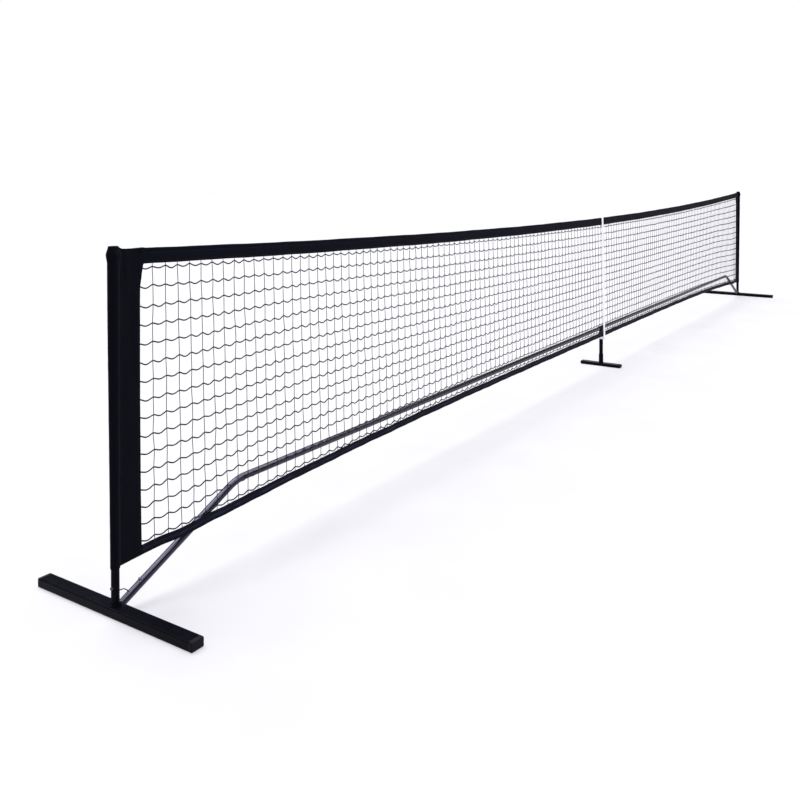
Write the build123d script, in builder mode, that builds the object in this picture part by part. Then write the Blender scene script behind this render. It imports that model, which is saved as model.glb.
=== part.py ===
from build123d import *
from math import atan, cos, degrees, pi, radians, sin, sqrt, tan
import os

# Portable pickleball net, millimetres. X runs along the net, the front is -Y and Z is up.
# The origin is on the ground, midway between the two posts.

# ---- driving dimensions ----
HALF_SPAN = 3353.0          # middle of the net to the axis of each post
POST_TOP = 912.0            # top end of the post tube
NET_TOP_END = 914.0         # top of the net at the posts
NET_TOP_MIDDLE = 841.0      # top of the net at its middle
HEM_BOTTOM_END = 121.0      # bottom of the hem beside the sleeves
HEM_BOTTOM_MIDDLE = 170.0   # bottom of the hem at its middle

TUBE_R = 10.5               # outside of every round frame tube
BORE_R = 9.0                # inside of the same tubes
SWAGE_R = 8.95              # outside of a reduced end that slides into a tube
SWAGE_BORE_R = 7.45         # inside of a reduced end
SWAGE_LENGTH = 55.0         # length of a reduced end
SWAGE_TAPER = 2.5           # length of the cone ahead of a reduced end
INSERT_BORE_R = 7.2         # inside of the separate inner tubes
FIT = 0.05                  # radial clearance of tube fits

FOOT_LENGTH = 584.0
FOOT_WIDTH = 40.0
FOOT_HEIGHT = 25.0
FOOT_WALL = 1.8
FOOT_CORNER = 4.0
CAP_LENGTH = 12.0           # visible end of a foot cap
CAP_PLUG = 18.0             # part of a foot cap inside the beam
CAP_ROUND = 3.5
PLUG_GAP = 0.15             # clearance round a plug

SPIGOT_HEIGHT = 100.0       # inner tube that the post stands on
COLLAR_R = 15.5
COLLAR_HEIGHT = 5.0

BAR_Z = 215.0               # height of the crossbar's axis
BEND_X = 2925.0             # where the crossbar's axis would meet the brace's axis
BEND_RADIUS = 160.0
BRACE_ANGLE = 25.3          # slope of the brace, degrees
BRACE_LENGTH = 393.5        # from that meeting point down to the ring joint
RING_GAP = 0.6              # groove between the brace and its stub
STUB_REACH = 110.0          # length of the stub before it is cut to the foot
INSERT_IN_STUB = 22.0
INSERT_IN_BRACE = 45.0
BAR_JOINTS = (2755.0, 1837.0, 919.0)   # shoulders of the crossbar sections

BUTTON_R = 4.0
BUTTON_HOLE_R = 4.08
BUTTON_OUT = 3.5            # how far a button stands out of the tube
BUTTON_INNER = 4.2          # distance of the button's leaf from the tube's axis
LEAF = 0.8                  # thickness of the leaf spring
LEAF_WIDTH = 7.0
LEAF_LENGTH = 34.0
BACK_LEAF = 5.4             # distance of the spring's fixed leaf from the axis
BACK_LEAF_WIDTH = 6.0
POST_BUTTON_Z = 70.0
BRACE_BUTTON_UP = 10.0      # from the ring joint, up the brace

TETHER_R = 1.3
TETHER_HOLE_R = 1.8
TETHER_ENTRY = 14.0         # depth of the cord's hole in the stub, from outside it
TETHER_Z = 57.0             # height of the hole in the post

TEE_R = 12.0
TEE_HALF = 40.0
TEE_LEG_R = 12.5
TEE_LEG_BOTTOM = 178.0
TEE_WEB = 2.0               # metal between the two bores of the tee
CENTER_FOOT_LENGTH = 232.0
CENTER_FOOT_WIDTH = 38.0
CENTER_FOOT_HEIGHT = 18.0
SOCKET_R = 12.4
SOCKET_HEIGHT = 48.0
RIB_REACH = 20.0            # from the socket's axis to the rib's face
RIB_WIDTH = 10.0
END_GAP = 0.3               # under the centre post, so that the foot can turn

NET_STANDOFF = 15.0         # how far the net hangs in front of the crossbar's axis
TURN_X = 3110.0             # from here to the sleeves the net turns into the plane of the posts
TAPE_HEIGHT = 40.0
TAPE_FOLD = 10.0            # height of the thick fold round the top cord
TAPE_FOLD_THICK = 5.0
TAPE_THICK = 2.6
TOP_CORD_R = 1.4
CORD_TUNNEL = 3.6           # height and width of the space in the fold for the top cord
TOP_CORD_DROP = 4.0         # top cord's axis below the tape's top edge
CORD_INSET = 1.0            # the top cord stops this far inside the tape's ends
MESH_THICK = 1.0
MESH_SPLIT = 0.25           # half the gap between the two halves of the netting
HEM_HEIGHT = 24.0
HEM_THICK = 3.0
BAND_STEPS = 16             # steps of the long curves along the net
PANEL_EDGE = 83.0           # post axis to the panel's inner edge
PANEL_START = 4.0
PANEL_TOP = 913.0
PANEL_THICK = 2.4
SLEEVE_BOTTOM = 118.0
SLEEVE_LOW_R = 12.7         # the pocket widens upwards from this
SLEEVE_HIGH_R = 15.2
SLEEVE_BORE_R = 11.7
SLEEVE_TOP = 921.0
SLEEVE_LID = 2.0
CORNER_R = 17.2             # thick sewn corner of the sleeve
CORNER_Z = 898.0
CORNER_LOW_Z = 875.0
CORNER_TOP_R = 12.4
POST_CAP_R = 11.2
POST_CAP_TOP = 918.2
POST_CAP_SKIRT = 24.0
STRAP_WIDTH = 25.0
STRAP_THICK = 1.4
STRAP_BOTTOM = 149.0
STRAP_BACK = 58.0           # length of the strap's tail behind the tape
SOFT_GAP = 0.3
TIE_LOW = 153.0
TIE_HIGH = 167.0
TIE_THICK = 1.3

# ---- places worked out from them ----
SLOPE = radians(BRACE_ANGLE)
LEFT_X = -HALF_SPAN
BEAM_HALF = FOOT_LENGTH / 2 - CAP_LENGTH
SWAGE_SHOULDERS = [-x for x in BAR_JOINTS]
JOINT_POINT = Vector(-BEND_X - BRACE_LENGTH * cos(SLOPE), 0, BAR_Z - BRACE_LENGTH * sin(SLOPE))
BRACE_UP = Vector(cos(SLOPE), 0, sin(SLOPE))
BRACE_OUT = Vector(-sin(SLOPE), 0, cos(SLOPE))
NET_TILT = atan(NET_STANDOFF / (NET_TOP_END - BAR_Z))
NET_NORMAL = Vector(0, -cos(NET_TILT), sin(NET_TILT))
PANEL_X = HALF_SPAN - PANEL_EDGE
NET_PLANE = Plane(origin=(0, 0, NET_TOP_END), x_dir=(1, 0, 0), z_dir=NET_NORMAL)
POST_PROFILE = Plane(origin=(LEFT_X, 0, 0), x_dir=(1, 0, 0), z_dir=(0, -1, 0))
POST_AXIS = Axis((LEFT_X, 0, 0), (0, 0, 1))
BAR_PROFILE = Plane(origin=(0, 0, BAR_Z), x_dir=(1, 0, 0), z_dir=(0, -1, 0))
BAR_AXIS = Axis((0, 0, BAR_Z), (1, 0, 0))

os.makedirs("parts", exist_ok=True)


def save(builder, name):
    """Label one finished piece and write it."""
    builder.part.label = name
    export_step(builder.part, f"parts/{name}.step")


def save_pair(builder, name):
    """Write a left piece and its mirror image."""
    save(builder, f"left_{name}")
    with BuildPart() as mirrored:
        mirror(builder.part, about=Plane.YZ)
    save(mirrored, f"right_{name}")


def brace_plane(along):
    """Plane across the brace, a distance up it from the ring joint; x points out of its top."""
    return Plane(origin=JOINT_POINT + BRACE_UP * along, x_dir=BRACE_OUT, z_dir=BRACE_UP)


def ring_sketch(plane, outer, inner):
    """Round tube section on a plane."""
    with BuildSketch(plane) as ring:
        Circle(outer)
        Circle(inner, mode=Mode.SUBTRACT)
    return ring.sketch


def turned(points, plane, axis):
    """Solid of revolution from its closed half outline."""
    with BuildSketch(plane) as half:
        with BuildLine():
            Polyline(*points, close=True)
        make_face()
    revolve(half.sketch, axis=axis)


# ---- feet ----
def beam(x, half_length, width, height):
    """Rectangular tube lying along Y, resting on the ground."""
    start = Plane(origin=(x, half_length, height / 2), x_dir=(1, 0, 0), z_dir=(0, -1, 0))
    with BuildPart() as tube:
        with BuildSketch(start):
            RectangleRounded(width, height, FOOT_CORNER)
            RectangleRounded(width - 2 * FOOT_WALL, height - 2 * FOOT_WALL, FOOT_CORNER - FOOT_WALL,
                             mode=Mode.SUBTRACT)
        extrude(amount=2 * half_length)
    return tube


def beam_cap(x, half_length, width, height, side):
    """Plastic cap with a hollow plug in the end of a beam; side is -1 at the front, 1 at the rear."""
    face = Plane(origin=(x, side * half_length, height / 2), x_dir=(1, 0, 0), z_dir=(0, side, 0))
    plug_width = width - 2 * FOOT_WALL - 2 * PLUG_GAP
    plug_height = height - 2 * FOOT_WALL - 2 * PLUG_GAP
    with BuildPart() as cap:
        with BuildSketch(face):
            RectangleRounded(width, height, FOOT_CORNER)
        extrude(amount=CAP_LENGTH)
        fillet(cap.faces().sort_by(Axis.Y)[0 if side < 0 else -1].edges(), CAP_ROUND)
        with BuildSketch(face):
            RectangleRounded(plug_width, plug_height, FOOT_CORNER - FOOT_WALL)
            RectangleRounded(plug_width - 2 * FOOT_WALL, plug_height - 2 * FOOT_WALL, 1.0, mode=Mode.SUBTRACT)
        extrude(amount=-CAP_PLUG)
    return cap


save_pair(beam(LEFT_X, BEAM_HALF, FOOT_WIDTH, FOOT_HEIGHT), "foot_beam")
save_pair(beam_cap(LEFT_X, BEAM_HALF, FOOT_WIDTH, FOOT_HEIGHT, -1), "foot_cap_front")
save_pair(beam_cap(LEFT_X, BEAM_HALF, FOOT_WIDTH, FOOT_HEIGHT, 1), "foot_cap_rear")

# ---- collar welded round the post's base, notched for the brace stub ----
with BuildPart() as collar:
    with BuildSketch(Plane.XY.offset(FOOT_HEIGHT)):
        with Locations((LEFT_X, 0)):
            Circle(COLLAR_R)
            Circle(TUBE_R + FIT, mode=Mode.SUBTRACT)
    extrude(amount=COLLAR_HEIGHT)
    with BuildSketch(brace_plane(-STUB_REACH)):
        Circle(TUBE_R)
    extrude(amount=STUB_REACH, mode=Mode.SUBTRACT)
save_pair(collar, "foot_collar")


# ---- snap buttons: a leaf with a round head, and the fixed leaf behind it ----
def snap_button(across):
    """Button with its leaf; the plane's x points out through the tube, its z runs along the tube."""
    head = Plane(origin=across.origin + across.x_dir * BUTTON_INNER, x_dir=across.z_dir, z_dir=across.x_dir)
    with BuildPart() as button:
        with BuildSketch(head):
            Circle(BUTTON_R)
        extrude(amount=TUBE_R + BUTTON_OUT - BUTTON_INNER)
        fillet(button.edges().filter_by(GeomType.CIRCLE).sort_by(Axis(across.origin, across.x_dir))[-1], 1.6)
        with BuildSketch(head):
            RectangleRounded(LEAF_LENGTH, LEAF_WIDTH, 2.0)
        extrude(amount=LEAF)
    return button


def leaf_spring(across):
    """Fixed leaf of the V-shaped spring, with the turned foot that joins it to the moving leaf."""
    back = Plane(origin=across.origin - across.x_dir * BACK_LEAF, x_dir=across.z_dir, z_dir=-across.x_dir)
    foot_low = across.origin - across.z_dir * (LEAF_LENGTH / 2 + 3.0)
    foot = Plane(origin=foot_low, x_dir=across.x_dir, z_dir=across.z_dir)
    with BuildPart() as spring:
        with BuildSketch(back):
            with Locations((-1.5, 0)):
                Rectangle(LEAF_LENGTH + 3.0, BACK_LEAF_WIDTH)
        extrude(amount=LEAF)
        with BuildSketch(foot):
            with Locations((-(BACK_LEAF + LEAF - BUTTON_INNER) / 2, 0)):
                Rectangle(BACK_LEAF + LEAF + BUTTON_INNER, BACK_LEAF_WIDTH)
        extrude(amount=LEAF)
    return spring


POST_BUTTON = Plane(origin=(LEFT_X, 0, POST_BUTTON_Z), x_dir=(-1, 0, 0), z_dir=(0, 0, 1))
BRACE_BUTTON = brace_plane(BRACE_BUTTON_UP)


def drill(across, outward, radius, start, depth):
    """Round hole from outside the tube towards its axis."""
    with Locations(Plane(origin=across.origin + outward * start, z_dir=outward)):
        Hole(radius, depth=depth)


save_pair(snap_button(POST_BUTTON), "post_button")
save_pair(leaf_spring(POST_BUTTON), "post_button_spring")
save_pair(snap_button(BRACE_BUTTON), "brace_button")
save_pair(leaf_spring(BRACE_BUTTON), "brace_button_spring")

# ---- posts ----
TETHER_PLANE = Plane(origin=(LEFT_X, 0, TETHER_Z), x_dir=(1, 0, 0), z_dir=(0, 0, 1))


def upright(outer, inner, height):
    """Tube standing on the foot, drilled for the snap button and for the tether cord."""
    with BuildPart() as tube:
        extrude(ring_sketch(Plane(origin=(LEFT_X, 0, FOOT_HEIGHT)), outer, inner), amount=height)
        drill(POST_BUTTON, POST_BUTTON.x_dir, BUTTON_HOLE_R, TUBE_R + 1, TUBE_R)
        drill(TETHER_PLANE, TETHER_PLANE.x_dir, TETHER_HOLE_R, TUBE_R + 1, TUBE_R)
    return tube


save_pair(upright(SWAGE_R, INSERT_BORE_R, SPIGOT_HEIGHT), "post_spigot")
save_pair(upright(TUBE_R, BORE_R, POST_TOP - FOOT_HEIGHT), "post_tube")

with BuildPart() as post_cap:
    turned([(0, POST_TOP), (TUBE_R + FIT, POST_TOP), (TUBE_R + FIT, POST_TOP - POST_CAP_SKIRT),
            (POST_CAP_R, POST_TOP - POST_CAP_SKIRT), (POST_CAP_R, POST_CAP_TOP), (0, POST_CAP_TOP)],
           POST_PROFILE, POST_AXIS)
    fillet(post_cap.edges().filter_by(GeomType.CIRCLE).sort_by(Axis.Z)[-1], 2.0)
save_pair(post_cap, "post_cap")

# ---- braces ----
with BuildPart() as stub:
    extrude(ring_sketch(brace_plane(-STUB_REACH), TUBE_R, BORE_R), amount=STUB_REACH - RING_GAP / 2)
    with BuildSketch(Plane.XY):
        with Locations((LEFT_X + FOOT_WIDTH / 2 - STUB_REACH, 0)):
            Rectangle(2 * STUB_REACH, FOOT_WIDTH)
    extrude(amount=FOOT_HEIGHT, mode=Mode.SUBTRACT)
    with BuildSketch(Plane.XY.offset(-STUB_REACH)):
        with Locations((LEFT_X - STUB_REACH, 0)):
            Rectangle(2 * STUB_REACH, FOOT_WIDTH)
        with Locations((LEFT_X, 0)):
            Circle(TUBE_R + SOFT_GAP)
    extrude(amount=2 * STUB_REACH, mode=Mode.SUBTRACT)

# tether cord: out of the post, over and down into the top of the stub, in the plane of the frame
TETHER_RUN = [
    (LEFT_X + 7.6, TETHER_Z - 0.2),
    (LEFT_X + 18.0, TETHER_Z + 0.6),
    (LEFT_X + 27.5, TETHER_Z - 2.0),
    (LEFT_X + 35.3, TETHER_Z - 7.6),
    (LEFT_X + 40.7, TETHER_Z - 14.8),
    (LEFT_X + 44.5, TETHER_Z - 22.6),
]


def bend_radii(points):
    """Largest tangent arc at each corner: 0.45 of the shorter run over the tangent of half the turn."""
    radii = []
    for before, corner, after in zip(points, points[1:], points[2:]):
        run_in = Vector(*corner) - Vector(*before)
        run_out = Vector(*after) - Vector(*corner)
        half_turn = radians(run_in.get_angle(run_out)) / 2
        radii.append(0.45 * min(run_in.length, run_out.length) / tan(half_turn))
    return radii


TETHER_POINTS = [(x, 0, z) for x, z in TETHER_RUN]
TETHER_RADII = bend_radii(TETHER_POINTS)
print("tether bend radii", [round(radius, 1) for radius in TETHER_RADII])
with BuildPart() as tether:
    with BuildLine() as tether_line:
        FilletPolyline(*TETHER_POINTS, radius=TETHER_RADII)
    with BuildSketch(Plane(origin=tether_line.line @ 0, z_dir=tether_line.line % 0)):
        Circle(TETHER_R)
    sweep()
tether_length = sum(edge.length for edge in tether_line.edges())
print("tether volume", round(tether.part.volume, 2), "length", round(tether_length, 2),
      "section x length", round(pi * TETHER_R ** 2 * tether_length, 2))
save_pair(tether, "tether_cord")

TETHER_IN = Vector(*TETHER_POINTS[-1])
TETHER_BACK = (Vector(*TETHER_POINTS[-2]) - TETHER_IN).normalized()
with BuildPart() as drilled_stub:
    add(stub.part)
    with Locations(Plane(origin=TETHER_IN + TETHER_BACK * TETHER_ENTRY, z_dir=TETHER_BACK)):
        Hole(TETHER_HOLE_R + 0.4, depth=TETHER_ENTRY)
save_pair(drilled_stub, "brace_stub")

with BuildPart() as insert:
    extrude(ring_sketch(brace_plane(-INSERT_IN_STUB), SWAGE_R, INSERT_BORE_R),
            amount=INSERT_IN_STUB + INSERT_IN_BRACE)
    drill(BRACE_BUTTON, BRACE_OUT, BUTTON_HOLE_R, TUBE_R + 1, TUBE_R)
save_pair(insert, "brace_insert")


def reduced_end(shoulder):
    """Outline of a swaged end past its shoulder, as distances along the bar and from its axis."""
    return [(shoulder, SWAGE_R), (shoulder + SWAGE_LENGTH, SWAGE_R),
            (shoulder + SWAGE_LENGTH, SWAGE_BORE_R), (shoulder, SWAGE_BORE_R)]


with BuildPart() as brace_tube:
    with BuildLine() as brace_line:
        FilletPolyline(JOINT_POINT + BRACE_UP * (RING_GAP / 2), (-BEND_X, 0, BAR_Z),
                       (SWAGE_SHOULDERS[0] - SWAGE_TAPER, 0, BAR_Z), radius=BEND_RADIUS)
    with BuildSketch(brace_plane(RING_GAP / 2)):
        Circle(TUBE_R)
        Circle(BORE_R, mode=Mode.SUBTRACT)
    sweep()
    taper_start = SWAGE_SHOULDERS[0] - SWAGE_TAPER
    turned([(taper_start, BORE_R), (taper_start, TUBE_R)] + reduced_end(SWAGE_SHOULDERS[0]),
           BAR_PROFILE, BAR_AXIS)
    drill(BRACE_BUTTON, BRACE_OUT, BUTTON_HOLE_R, TUBE_R + 1, TUBE_R)
save_pair(brace_tube, "brace_tube")


# ---- crossbar sections ----
def bar_section(start, shoulder):
    """Straight tube with a plain outer end and a swaged inner end."""
    with BuildPart() as section:
        turned([(start, BORE_R), (start, TUBE_R), (shoulder - SWAGE_TAPER, TUBE_R)]
               + reduced_end(shoulder) + [(shoulder - SWAGE_TAPER, BORE_R)], BAR_PROFILE, BAR_AXIS)
    return section


save_pair(bar_section(SWAGE_SHOULDERS[0], SWAGE_SHOULDERS[1]), "crossbar_outer")
save_pair(bar_section(SWAGE_SHOULDERS[1], SWAGE_SHOULDERS[2]), "crossbar_middle")
with BuildPart() as bar_inner:
    turned([(SWAGE_SHOULDERS[2], BORE_R), (SWAGE_SHOULDERS[2], TUBE_R), (-1.0, TUBE_R), (-1.0, BORE_R)],
           BAR_PROFILE, BAR_AXIS)
save_pair(bar_inner, "crossbar_inner")

# ---- centre support ----
with BuildPart() as tee:
    with BuildSketch(Plane.XY.offset(TEE_LEG_BOTTOM)):
        Circle(TEE_LEG_R)
    extrude(amount=BAR_Z - TEE_LEG_BOTTOM)
    with BuildSketch(Plane(origin=(-TEE_HALF, 0, BAR_Z), z_dir=(1, 0, 0))):
        Circle(TEE_R)
    extrude(amount=2 * TEE_HALF)
    with BuildSketch(Plane(origin=(-TEE_HALF, 0, BAR_Z), z_dir=(1, 0, 0))):
        Circle(TUBE_R + FIT)
    extrude(amount=2 * TEE_HALF, mode=Mode.SUBTRACT)
    with BuildSketch(Plane.XY.offset(TEE_LEG_BOTTOM)):
        Circle(TUBE_R + FIT)
    extrude(amount=BAR_Z - TUBE_R - TEE_WEB - TEE_LEG_BOTTOM, mode=Mode.SUBTRACT)
save(tee, "center_tee")

with BuildPart() as center_post:
    post_start = CENTER_FOOT_HEIGHT + END_GAP
    post_end = BAR_Z - TUBE_R - TEE_WEB - END_GAP
    extrude(ring_sketch(Plane.XY.offset(post_start), TUBE_R, BORE_R), amount=post_end - post_start)
save(center_post, "center_post")

center_beam_half = CENTER_FOOT_LENGTH / 2 - CAP_LENGTH
save(beam(0, center_beam_half, CENTER_FOOT_WIDTH, CENTER_FOOT_HEIGHT), "center_foot_beam")
save(beam_cap(0, center_beam_half, CENTER_FOOT_WIDTH, CENTER_FOOT_HEIGHT, -1), "center_foot_cap_front")
save(beam_cap(0, center_beam_half, CENTER_FOOT_WIDTH, CENTER_FOOT_HEIGHT, 1), "center_foot_cap_rear")

with BuildPart() as socket:
    with BuildSketch(Plane.XY.offset(CENTER_FOOT_HEIGHT)):
        Circle(SOCKET_R)
        with Locations((RIB_REACH / 2, 0)):
            RectangleRounded(RIB_REACH, RIB_WIDTH, 2.0)
    extrude(amount=SOCKET_HEIGHT)
    with BuildSketch(Plane.XY.offset(CENTER_FOOT_HEIGHT)):
        Circle(TUBE_R + FIT)
    extrude(amount=SOCKET_HEIGHT, mode=Mode.SUBTRACT)
save(socket, "center_foot_socket")


# ---- net: it leans out in front of the crossbar, and turns into the posts' plane at its ends ----
def arc_radius(end_x, end_height, middle_height):
    """Radius of the arc through two level ends and the middle between them."""
    rise = abs(end_height - middle_height)
    return (end_x ** 2 + rise ** 2) / (2 * rise)


TOP_RADIUS = arc_radius(HALF_SPAN, NET_TOP_END, NET_TOP_MIDDLE)


def top_height(x, drop):
    """Height in the net's plane of the line a distance below the tape's top edge."""
    radius = TOP_RADIUS + drop
    return NET_TOP_MIDDLE - NET_TOP_END + TOP_RADIUS - sqrt(radius ** 2 - x ** 2)


def hem_height(x, rise):
    """Height in the net's plane of the line a distance above the hem's bottom edge, nearly level but at its ends."""
    sag = (HEM_BOTTOM_MIDDLE - HEM_BOTTOM_END) * (x / PANEL_X) ** 4
    return HEM_BOTTOM_MIDDLE - NET_TOP_END - sag + rise


def tape_bottom(x):
    return top_height(x, TAPE_HEIGHT)


def hem_top(x):
    return hem_height(x, HEM_HEIGHT)


def hem_bottom(x):
    return hem_height(x, 0)


def band(upper, lower, start, end, thickness, mode=Mode.ADD):
    """Flat band between two curved edges, centred on the net's plane."""
    stations = [start + (end - start) * i / BAND_STEPS for i in range(BAND_STEPS + 1)]
    with BuildSketch(NET_PLANE) as outline:
        with BuildLine():
            Spline(*[(x, upper(x)) for x in stations])
            Line((end, upper(end)), (end, lower(end)))
            Spline(*[(x, lower(x)) for x in reversed(stations)])
            Line((start, lower(start)), (start, upper(start)))
        make_face()
    extrude(outline.sketch, amount=thickness / 2, both=True, mode=mode)


def turned_end(upper, lower, side, thickness):
    """End of a band, from the net's lean at TURN_X into the plane of the posts at the sleeve."""
    sections = []
    for reach, lean in ((TURN_X, NET_TILT), (PANEL_X, 0.0)):
        x = side * reach
        high = upper(x)
        low = lower(x)
        with BuildSketch(Plane(origin=(x, 0, NET_TOP_END), x_dir=(0, 1, 0), z_dir=(1, 0, 0))) as section:
            with Locations(Location((0, 0), degrees(-lean))):
                with Locations((0, (high + low) / 2)):
                    Rectangle(thickness, high - low)
        sections.append(section.sketch.face())
    loft(sections, ruled=True)


with BuildPart() as top_tape:
    band(lambda x: top_height(x, 0), lambda x: top_height(x, TAPE_FOLD), -PANEL_X, PANEL_X, TAPE_FOLD_THICK)
    band(lambda x: top_height(x, TAPE_FOLD), lambda x: top_height(x, TAPE_HEIGHT), -PANEL_X, PANEL_X, TAPE_THICK)
    band(lambda x: top_height(x, TOP_CORD_DROP - CORD_TUNNEL / 2),
         lambda x: top_height(x, TOP_CORD_DROP + CORD_TUNNEL / 2), -PANEL_X, PANEL_X, CORD_TUNNEL, Mode.SUBTRACT)
save(top_tape, "top_tape")

with BuildPart() as top_cord:
    cord_end = PANEL_X - CORD_INSET
    cord_points = [(x, top_height(x, TOP_CORD_DROP), 0) for x in (-cord_end, 0, cord_end)]
    with BuildLine() as cord_line:
        ThreePointArc(*[NET_PLANE.from_local_coords(point) for point in cord_points])
    with BuildSketch(Plane(origin=cord_line.line @ 0, z_dir=cord_line.line % 0)):
        Circle(TOP_CORD_R)
    sweep()
save(top_cord, "top_cord")

with BuildPart() as bottom_hem:
    band(hem_top, hem_bottom, -TURN_X, TURN_X, HEM_THICK)
    turned_end(hem_top, hem_bottom, -1, HEM_THICK)
    turned_end(hem_top, hem_bottom, 1, HEM_THICK)
save(bottom_hem, "bottom_hem")

with BuildPart() as net_half:
    band(tape_bottom, hem_top, -TURN_X, -MESH_SPLIT, MESH_THICK)
    turned_end(tape_bottom, hem_top, -1, MESH_THICK)
save(net_half, "net_mesh_left")
with BuildPart() as net_other_half:
    mirror(net_half.part, about=Plane.YZ)
save(net_other_half, "net_mesh_right")

# side sleeve: a closed pocket over the post, a thick sewn corner, and the panel beside it
with BuildPart() as sleeve:
    with BuildSketch(POST_PROFILE):
        with Locations(((PANEL_START + PANEL_EDGE) / 2, (PANEL_TOP + SLEEVE_BOTTOM) / 2)):
            Rectangle(PANEL_EDGE - PANEL_START, PANEL_TOP - SLEEVE_BOTTOM)
    extrude(amount=PANEL_THICK / 2, both=True)
    turned([(0, SLEEVE_BOTTOM), (SLEEVE_LOW_R, SLEEVE_BOTTOM), (SLEEVE_HIGH_R, CORNER_LOW_Z), (CORNER_R, CORNER_Z),
            (CORNER_TOP_R, SLEEVE_TOP), (0, SLEEVE_TOP)], POST_PROFILE, POST_AXIS)
    with BuildSketch(Plane(origin=(LEFT_X, 0, 0))):
        Circle(SLEEVE_BORE_R)
    extrude(amount=SLEEVE_TOP - SLEEVE_LID, mode=Mode.SUBTRACT)
save_pair(sleeve, "sleeve")

# centre strap: up the front of the net, over the tape and down behind it
STRAP_PROFILE = Plane(origin=(STRAP_WIDTH / 2, 0, NET_TOP_END), x_dir=NET_NORMAL, z_dir=(-1, 0, 0))
strap_in = TAPE_FOLD_THICK / 2 + SOFT_GAP
strap_out = strap_in + STRAP_THICK
strap_under = NET_TOP_MIDDLE - NET_TOP_END + SOFT_GAP
strap_low = STRAP_BOTTOM - NET_TOP_END
with BuildPart() as strap:
    with BuildSketch(STRAP_PROFILE):
        with BuildLine():
            Polyline((-strap_out, strap_under - STRAP_BACK), (-strap_in, strap_under - STRAP_BACK),
                     (-strap_in, strap_under), (strap_in, strap_under), (strap_in, strap_low),
                     (strap_out, strap_low), (strap_out, strap_under + STRAP_THICK),
                     (-strap_out, strap_under + STRAP_THICK), close=True)
        make_face()
    extrude(amount=STRAP_WIDTH)
    fillet(strap.edges().filter_by(Axis.X).sort_by(Axis.Z)[-2:], STRAP_THICK - 0.2)
save(strap, "center_strap")

# webbing ring round the centre post that holds the strap's lower end
tie_height = (TIE_LOW + TIE_HIGH) / 2
tie_front = -(NET_TOP_END - tie_height) * tan(NET_TILT) - strap_out - 2 * SOFT_GAP
with BuildPart() as tie:
    for grow, mode in ((TIE_THICK, Mode.ADD), (0.0, Mode.SUBTRACT)):
        half_width = STRAP_WIDTH / 2 + 1.5 + grow
        with BuildSketch(Plane.XY.offset(TIE_LOW)) as loop:
            with BuildLine():
                CenterArc((0, 0), TUBE_R + SOFT_GAP + grow, 0, 180)
                Line((-half_width, tie_front - grow), (half_width, tie_front - grow))
            make_hull()
        extrude(amount=TIE_HIGH - TIE_LOW, mode=mode)
save(tie, "strap_tie")
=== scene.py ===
import math

import bpy
import numpy as np
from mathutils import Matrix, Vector, noise


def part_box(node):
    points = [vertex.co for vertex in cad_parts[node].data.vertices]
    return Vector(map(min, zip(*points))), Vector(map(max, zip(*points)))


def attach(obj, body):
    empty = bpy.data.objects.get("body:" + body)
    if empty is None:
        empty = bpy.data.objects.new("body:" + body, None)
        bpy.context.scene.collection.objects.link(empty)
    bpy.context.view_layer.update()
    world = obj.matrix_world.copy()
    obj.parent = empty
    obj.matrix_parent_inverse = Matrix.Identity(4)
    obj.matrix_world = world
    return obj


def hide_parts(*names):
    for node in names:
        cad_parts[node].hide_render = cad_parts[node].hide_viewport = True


# Portable pickleball net, metres. X runs along the net, the front is -Y and Z is up.
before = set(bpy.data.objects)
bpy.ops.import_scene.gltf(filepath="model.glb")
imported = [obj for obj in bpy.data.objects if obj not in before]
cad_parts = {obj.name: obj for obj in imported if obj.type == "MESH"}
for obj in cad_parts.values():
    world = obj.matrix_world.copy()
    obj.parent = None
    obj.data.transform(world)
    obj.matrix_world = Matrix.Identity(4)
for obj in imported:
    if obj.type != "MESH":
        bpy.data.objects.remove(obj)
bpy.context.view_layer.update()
draw = np.random.default_rng(11)

# ---- places taken from the frame ----
post_low, post_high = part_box("left_post_tube")
HALF_SPAN = -(post_low.x + post_high.x) / 2
tape_low, tape_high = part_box("top_tape")
hem_low, hem_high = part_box("bottom_hem")
sleeve_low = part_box("left_sleeve")[0]
strap_low, strap_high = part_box("center_strap")
tie_low, tie_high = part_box("strap_tie")

# ---- the net ----
TAPE_HEIGHT = 0.040
HEM_HEIGHT = 0.024
NET_END = tape_high.x                       # the tape and hem end here, at the sleeves
TOP_END = 0.914                             # top of the net at the posts
TOP_MIDDLE = tape_low.z + TAPE_HEIGHT       # and at the middle
HEM_END = hem_low.z                         # bottom of the hem at the sleeves
HEM_MIDDLE = hem_high.z - HEM_HEIGHT        # and at the middle
LEAN = 0.015 / 0.699                        # the net comes forward by this much per metre down
TURN_X = 3.110                              # from here to the sleeves it turns into the posts' plane

COLUMN_PITCH = 0.04223                      # between two upright cords
ROW_COUNT = 16
FIRST_ROW = 0.008                           # below the tape
LAST_ROW = 0.012                            # above the hem
UPRIGHT_R = 0.00100                         # upright netting cord
ROW_R = 0.00190                             # level netting cord
ROW_SAG = 0.0065                            # of a level cord between two uprights
ROW_UNEVEN = 0.07                           # near the posts the rows are closer together lower down
UNEVEN_FROM = 2.5                           # which starts here
UNEVEN_RUN = 0.6                            # and has come in full after this far
KNOT_R = 0.0018
SPREAD_X, SPREAD_Z, SPREAD_OUT = 0.0010, 0.0008, 0.0003     # how unevenly the knots lie
CORD_SIDES = 6
CORD_TUCK = 0.004                           # the level cords run this far into the sleeves
CORD_IN_TAPE = 0.006                        # and the uprights this far into the tape
CORD_IN_HEM = 0.010                         # and the hem
ROW_IN_HEM = 0.009                          # a level cord that runs into the hem stops here
LOWEST_KNOT = 0.006                         # above the hem
EDGE_MARGIN = 0.045                         # least distance from an upright to the sleeve

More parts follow.
